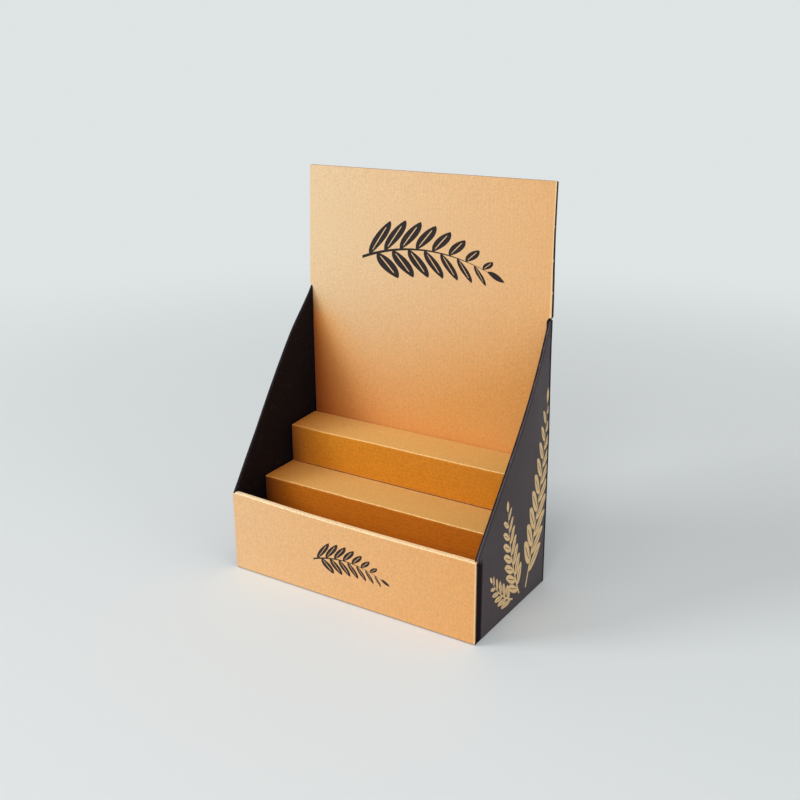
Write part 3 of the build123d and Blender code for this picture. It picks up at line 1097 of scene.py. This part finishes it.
def raw_finish(name, colour, dark, scale, nicks=()):
    """Raw fibre at a cut edge or inside a flute, with pale nicks at some heights."""
    material, tree, shader = new_tree(name)
    place, parts = surface_place(tree)
    fibre = speckle(tree, place, scale, 3.0)
    shown = blend_colour(tree, map_value(tree, fibre, *FIBRE_BAND), dark, colour)
    for nick in nicks:
        off = calculate(tree, "ABSOLUTE", minus(tree, parts["Z"], nick * MM))
        shown = blend_colour(tree, map_value(tree, off, NICK / 2 * MM, NICK * MM, 1.0, 0.0), shown, KRAFT[0])
    rough = map_value(tree, fibre, *FIBRE_BAND, 0.75, 0.9)
    wire_shader(tree, shader, shown, rough, 0.2, (fibre, 0.5, 0.1 * MM))
    return material


INKED_AND_SHADED = (srgb(34, 26, 24), srgb(16, 11, 11))
cut_edge = raw_finish("Cut edge", srgb(240, 208, 164), srgb(220, 180, 132), 900.0)
cut_edge_black = raw_finish("Cut edge inked and shaded", *INKED_AND_SHADED, 900.0)
card_edge_black = raw_finish("Card edge inked and shaded", *INKED_AND_SHADED, 900.0, nicks=(241.0, 265.0, 290.0))
# Painted shade: the walls of the flute hollows are a darker kraft.
flute_inside_shade = raw_finish("Flute inside shade", srgb(176, 132, 88), srgb(130, 92, 56), 700.0)
print(len(bpy.data.materials), "materials so far")


# %% [markdown]
# The faces get their finishes by where they are and which way they face. The walls of the holes are known by
# the cutters' material.

# %% Finishes on the faces
def finish_faces(piece, finishes, choose):
    """Gives each face the finish that choose names for its middle and normal."""
    hollow_slot = piece.data.materials.find("Flute hollow")
    hollows = set()
    if hollow_slot >= 0:
        hollows = {face.index for face in piece.data.polygons if face.material_index == hollow_slot}
    piece.data.materials.clear()
    names = list(finishes)
    for finish in finishes.values():
        piece.data.materials.append(finish)
    count = dict.fromkeys(names, 0)
    for face in piece.data.polygons:
        name = choose(face.center / MM, face.normal)
        if face.index in hollows and name != "cut_black":
            name = "hollow"
        face.material_index = names.index(name)
        count[name] += 1
    print(piece.name, count)


# %% [markdown]
# The tray has the most finishes. Its faces are told apart from the front wall to the rear one.

# %% Finishes of the tray
OUTER_SKIN = SIDE - 1.7
STRIP_LIMIT = STRIP_TOP + 0.1
FLAP_REACH = 4.0


def front_face(middle, normal, on_side):
    """The finish of one face of the front wall."""
    if middle.y < FRONT + BOARD + NEAR and abs(normal.x) > 0.7:
        return "cut"
    behind_ply = middle.y > FRONT + BOARD + 0.15
    if on_side and middle.z < STRIP_LIMIT and behind_ply and abs(middle.x) > OUTER_SKIN:
        return "strip"
    return "fold" if normal.z > 0.3 and middle.z > STRIP_TOP else "front"


def rear_face(middle, normal):
    """The finish of one face of the rear wall."""
    if normal.y < -0.5:
        return "rear"
    if normal.z > 0.5 and middle.z > SIDE_TOP:
        return "cut"
    if abs(normal.x) > 0.5:
        return "cut_black"
    return "rear" if normal.y > 0.05 else "plain"


def tray_face(middle, normal):
    """The finish of one face of the tray."""
    on_side = abs(middle.x) > SIDE_INSIDE - NEAR - TIP_LEAN * (middle.z > SIDE_FOOT)
    if middle.z < BOARD + PLY_GAP and abs(middle.x) > SIDE_INSIDE and middle.y > FRONT + BOARD:
        return "side"
    low = not on_side or middle.z < BEAK_FOOT + 0.5 * CORNER_LIFT
    if low and middle.y < FRONT_INSIDE + NEAR:
        return front_face(middle, normal, on_side)
    if on_side and middle.y < REAR - BOARD - NEAR:
        if middle.y < FRONT + STRIP_DEPTH and middle.z < STRIP_LIMIT:
            return "strip"
        return "side" if normal.x * middle.x > 0.3 * SIDE else "inside"
    if middle.y > REAR - BOARD - NEAR:
        return rear_face(middle, normal)
    return "inside" if middle.y > REAR - FLAP_REACH and normal.y < -0.5 else "plain"


finish_faces(tray, dict(
    front=kraft_front, side=black_side, rear=black_rear, strip=black_strip, inside=black_inside,
    plain=kraft_plain, fold=kraft_fold_highlight, cut=cut_edge, cut_black=cut_edge_black, hollow=flute_inside_shade
), tray_face)


# %% [markdown]
# The header card is kraft on both faces, with a raw top edge and upright edges painted near black, as ink and
# painted shade.

# %% Finishes of the header card
def card_face(middle, normal):
    """The finish of one face of the header card."""
    at_edge = abs(middle.x) > HEADER_SIDE - LEFT_LEAN - GAP_DEPTH
    if abs(normal.x) > 0.5 or (at_edge and middle.z < TOP - HOLE_DEPTH):
        return "cut_black"
    if abs(normal.z) > 0.5:
        return "cut"
    return "header" if normal.y < 0 else "plain"


finish_faces(card, dict(
    header=kraft_header, plain=kraft_plain, cut=cut_edge, cut_black=card_edge_black, hollow=flute_inside_shade
), card_face)


# %% [markdown]
# The stair's faces are told by their normals: a fold or a crease faces up and forwards at once.

# %% Finishes of the stair
def stair_face(middle, normal):
    """The finish of one face of the stair."""
    if abs(normal.x) > 0.5:
        return "cut"
    if normal.y < -0.4 and normal.z > 0.4:
        inner = LOWER_TREAD + BOARD < middle.z < UPPER_TREAD - 2 * BOARD
        return "crease" if inner else "fold"
    return "riser" if normal.y < -0.8 else "tread"


finish_faces(stair, dict(
    tread=kraft_tread, riser=kraft_riser, fold=stair_fold_highlight, crease=kraft_crease_shade, cut=cut_edge
), stair_face)

# %% [markdown]
# Shading by angle rounds the small folds and keeps sharp edges. Weighted normals then make a flat wall look
# flat beside its folds.

# %% Smooth folds and flat walls
SMOOTH_ANGLE = math.radians(32)
for sheet in (tray, card, stair):
    alone(sheet)
    bpy.ops.object.shade_smooth_by_angle(angle=SMOOTH_ANGLE)
    apply_modifier(sheet, "WEIGHTED_NORMAL", "flat walls", keep_sharp=True)
print("smooth up to", round(math.degrees(SMOOTH_ANGLE)), "degrees")
